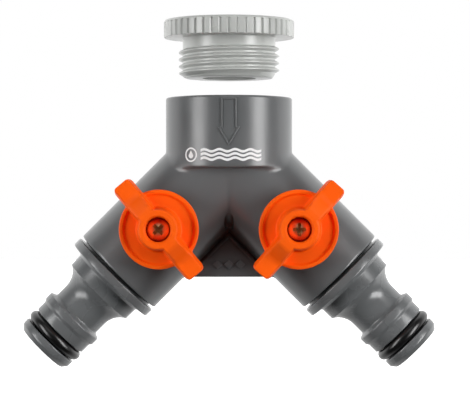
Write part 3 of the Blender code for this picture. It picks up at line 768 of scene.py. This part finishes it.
def buildBall(side):
    beyond = ball["radius"] + 1.8  # the cutters' reach from the centre
    bm = bmesh.new()
    bmesh.ops.create_uvsphere(bm, u_segments=72, v_segments=36, radius=ball["radius"] * mm)
    along = Matrix.Rotation(math.pi / 2, 4, "Y")
    mesh = combine(keepMesh(bm), rod(ball["bore"], -beyond, beyond, 48, along), "DIFFERENCE")
    mesh = combine(mesh, brick(2 * beyond, ball["slotWide"], ball["slotLow"], beyond), "DIFFERENCE")
    mesh.transform(valvePlace[side])
    addPiece(side + "_slotted_ball", mesh, finishes["acetal"], side + "_valve",
             side + "_valve_ball")
    print(side, "valve")


buildHousing()
printedMark()
buildReducer()
buildWashers()
for side in sides:
    buildLeg(side)
    buildKnob(side)
    buildScrew(side)
    buildStem(side)
    buildBall(side)


studio = {
    # millimetres, degrees and watts
    "distance": 547, "across": 1.56, "height": -30.9, "lens": 160.9, "shiftUp": 0.036,
    "floor": -165, "lightDistance": 640, "aim": -25, "boxAngle": 56, "boxRise": 0,
    "box": (270, 560), "rightWatts": 5.1, "leftWatts": 3.9, "top": (420, 420), "topWatts": 0.5,
    "topRise": 45,
    # the world's strength: in front, behind (over this span of its Y), and low down (of its Z)
    "around": 0.02, "behind": 1.4, "behindSpan": (0.0, 0.35), "below": 0.6, "belowSpan": (-0.6, -0.15),
}


def addCamera():
    camera = bpy.data.objects.new("camera", bpy.data.cameras.new("camera"))
    scene.collection.objects.link(camera)
    camera.location = (studio["across"] * mm, -studio["distance"] * mm, studio["height"] * mm)
    camera.rotation_euler = (math.pi / 2, 0, 0)
    camera.data.lens = studio["lens"]
    camera.data.sensor_width = 36
    camera.data.shift_y = studio["shiftUp"]
    camera.data.clip_start = 0.01
    camera.data.clip_end = 50
    scene.camera = camera


def addFloor():
    bm = bmesh.new()
    bmesh.ops.create_grid(bm, x_segments=1, y_segments=1, size=6)
    bmesh.ops.translate(bm, verts=bm.verts, vec=(0, 0, studio["floor"] * mm))
    floor = bpy.data.objects.new("floor", keepMesh(bm))
    scene.collection.objects.link(floor)
    material = bpy.data.materials.new("white_studio_paper")
    material.use_nodes = True
    shader = material.node_tree.nodes["Principled BSDF"]
    shader.inputs["Base Color"].default_value = linear("#f7f7f7")
    shader.inputs["Roughness"].default_value = 0.9
    shader.inputs["Emission Color"].default_value = (1, 1, 1, 1)
    shader.inputs["Emission Strength"].default_value = 1.0
    floor.data.materials.append(material)
    floor.visible_diffuse = False  # the paper is for the eye: the world below lights the object
    floor.visible_glossy = False


def addLight(name, angle, rise, size, watts):
    # angle is counted from the front to +X, and rise from level, in degrees
    lamp = bpy.data.lights.new(name, "AREA")
    lamp.shape = "RECTANGLE"
    lamp.size, lamp.size_y = (side * mm for side in size)
    lamp.energy = watts
    light = bpy.data.objects.new(name, lamp)
    turn, lift = math.radians(angle), math.radians(rise)
    away = Vector((math.sin(turn) * math.cos(lift), -math.cos(turn) * math.cos(lift), math.sin(lift)))
    light.location = Vector((0, 0, studio["aim"] * mm)) + away * studio["lightDistance"] * mm
    light.rotation_euler = (-away).to_track_quat("-Z", "Y").to_euler()
    light.visible_camera = False
    scene.collection.objects.link(light)


def addWorld():
    # the eye sees white paper all round; as light it is bright behind the object and dark in front
    world = bpy.data.worlds.new("studio")
    scene.world = world
    world.use_nodes = True
    world.node_tree.nodes.clear()
    place = addNode(world, "ShaderNodeTexCoord")
    split = addNode(world, "ShaderNodeSeparateXYZ", {"Vector": place.outputs["Generated"]})
    back = addNode(world, "ShaderNodeMapRange", {"Value": split.outputs["Y"]},
                   interpolation_type="SMOOTHSTEP")
    low = addNode(world, "ShaderNodeMapRange", {"Value": split.outputs["Z"]},
                  interpolation_type="SMOOTHSTEP")
    for node, ends in ((back, (*studio["behindSpan"], studio["around"], studio["behind"])),
                       (low, (*studio["belowSpan"], studio["below"], 1.0))):
        for socket, value in zip(("From Min", "From Max", "To Min", "To Max"), ends):
            node.inputs[socket].default_value = value
    strength = addNode(world, "ShaderNodeMath", {0: back.outputs["Result"], 1: low.outputs["Result"]},
                       operation="MULTIPLY")
    light = addNode(world, "ShaderNodeBackground", {"Strength": strength.outputs["Value"]},
                    Color=(1, 1, 1, 1))
    paper = addNode(world, "ShaderNodeBackground", Color=(1, 1, 1, 1), Strength=1.0)
    rays = addNode(world, "ShaderNodeLightPath")
    mix = addNode(world, "ShaderNodeMixShader",
                  {"Fac": rays.outputs["Is Camera Ray"], 1: light.outputs["Background"],
                   2: paper.outputs["Background"]})
    addNode(world, "ShaderNodeOutputWorld", {"Surface": mix.outputs["Shader"]})


addCamera()
addFloor()
addWorld()
addLight("right_box", studio["boxAngle"], studio["boxRise"], studio["box"], studio["rightWatts"])
addLight("left_box", -studio["boxAngle"], studio["boxRise"], studio["box"], studio["leftWatts"])
addLight("top_box", 0, studio["topRise"], studio["top"], studio["topWatts"])
scene.view_settings.view_transform = "Standard"
print("studio")
